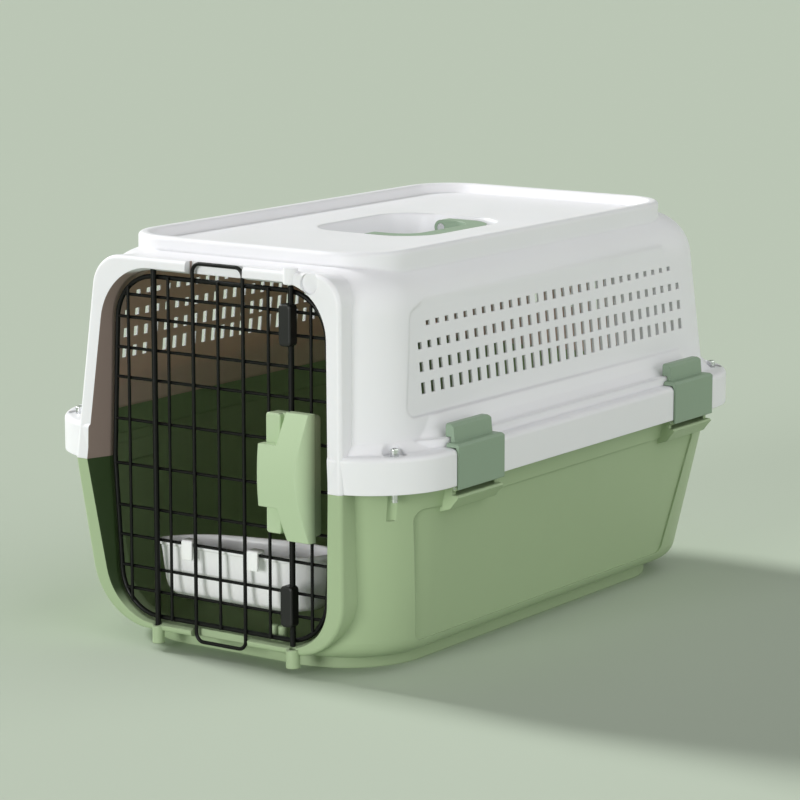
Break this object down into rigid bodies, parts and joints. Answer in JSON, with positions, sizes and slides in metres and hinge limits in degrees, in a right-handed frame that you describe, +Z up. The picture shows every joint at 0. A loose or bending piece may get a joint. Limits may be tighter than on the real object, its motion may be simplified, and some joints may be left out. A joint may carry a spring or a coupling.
{
  "type": "cat carrier",
  "caption": "Hard-shell cat carrier with a vented top, clip-on base, welded wire door with squeeze latch, hook-on bowl and folding top handle.",
  "frame": {"origin": "on the floor, under the middle of the carrier", "axes": "+Z up, the wire door faces -Y, +X to the right when facing the door from outside"},
  "size_m": [0.3152, 0.4808, 0.282],
  "materials": {
    "base_plastic": "satin moulded plastic, sage green",
    "top_plastic": "satin moulded plastic, white",
    "coated_wire": "black dip-coated steel wire",
    "guide_plastic": "black moulded plastic",
    "latch_plastic": "satin moulded plastic, light green",
    "clip_plastic": "satin moulded plastic, grey green",
    "bowl_plastic": "gloss moulded plastic, white",
    "plated_steel": "zinc-plated steel"
  },
  "bodies": {
    "carrier": {"base_shell": "base_plastic", "top_shell": "top_plastic", "corner_bolts": "plated_steel", "corner_nuts": "plated_steel", "clip_pins": "plated_steel", "handle_pin_front": "plated_steel", "handle_pin_rear": "plated_steel"},
    "door": {"door_grille": "coated_wire", "hinge_rod": "coated_wire", "latch_guide_upper": "guide_plastic", "latch_guide_lower": "guide_plastic", "latch_body": "latch_plastic"},
    "latch": {"latch_slider": "latch_plastic"},
    "upper_rod": {"upper_latch_rod": "coated_wire"},
    "lower_rod": {"lower_latch_rod": "coated_wire"},
    "bowl": {"food_bowl": "bowl_plastic"},
    "handle": {"carry_handle": "clip_plastic"},
    "front_left_clip": {"clip_front_left": "clip_plastic"},
    "front_right_clip": {"clip_front_right": "clip_plastic"},
    "rear_left_clip": {"clip_rear_left": "clip_plastic"},
    "rear_right_clip": {"clip_rear_right": "clip_plastic"}
  },
  "joints": [
    {"name": "door_swing", "type": "hinge", "parent": "carrier", "child": "door", "pos_m": [-0.0536, -0.22405, 0.14], "axis": [0, 0, -1], "range_deg": [0, 140]},
    {"name": "latch_release", "type": "slide", "parent": "door", "child": "latch", "axis": [1, 0, 0], "range_m": [0, 0.005]},
    {"name": "upper_rod_slide", "type": "slide", "parent": "door", "child": "upper_rod", "axis": [0, 0, 1], "range_m": [0, 0.005]},
    {"name": "lower_rod_slide", "type": "slide", "parent": "door", "child": "lower_rod", "axis": [0, 0, -1], "range_m": [0, 0.005]},
    {"name": "bowl_lift", "type": "slide", "parent": "door", "child": "bowl", "axis": [0, 0, 1], "range_m": [0, 0.013]},
    {"name": "handle_fold", "type": "hinge", "parent": "carrier", "child": "handle", "pos_m": [0, 0, 0.2682], "axis": [0, -1, 0], "range_deg": [0, 180]},
    {"name": "front_left_clip_swing", "type": "hinge", "parent": "carrier", "child": "front_left_clip", "pos_m": [-0.1539, -0.1417, 0.1282], "axis": [0, -1, 0], "range_deg": [0, 100]},
    {"name": "front_right_clip_swing", "type": "hinge", "parent": "carrier", "child": "front_right_clip", "pos_m": [0.1539, -0.1417, 0.1282], "axis": [0, 1, 0], "range_deg": [0, 100]},
    {"name": "rear_left_clip_swing", "type": "hinge", "parent": "carrier", "child": "rear_left_clip", "pos_m": [-0.1539, 0.1417, 0.1282], "axis": [0, -1, 0], "range_deg": [0, 100]},
    {"name": "rear_right_clip_swing", "type": "hinge", "parent": "carrier", "child": "rear_right_clip", "pos_m": [0.1539, 0.1417, 0.1282], "axis": [0, 1, 0], "range_deg": [0, 100]}
  ],
  "couplings": [
    {"joint": "upper_rod_slide", "follows": "latch_release", "ratio": 1},
    {"joint": "lower_rod_slide", "follows": "latch_release", "ratio": 1}
  ]
}
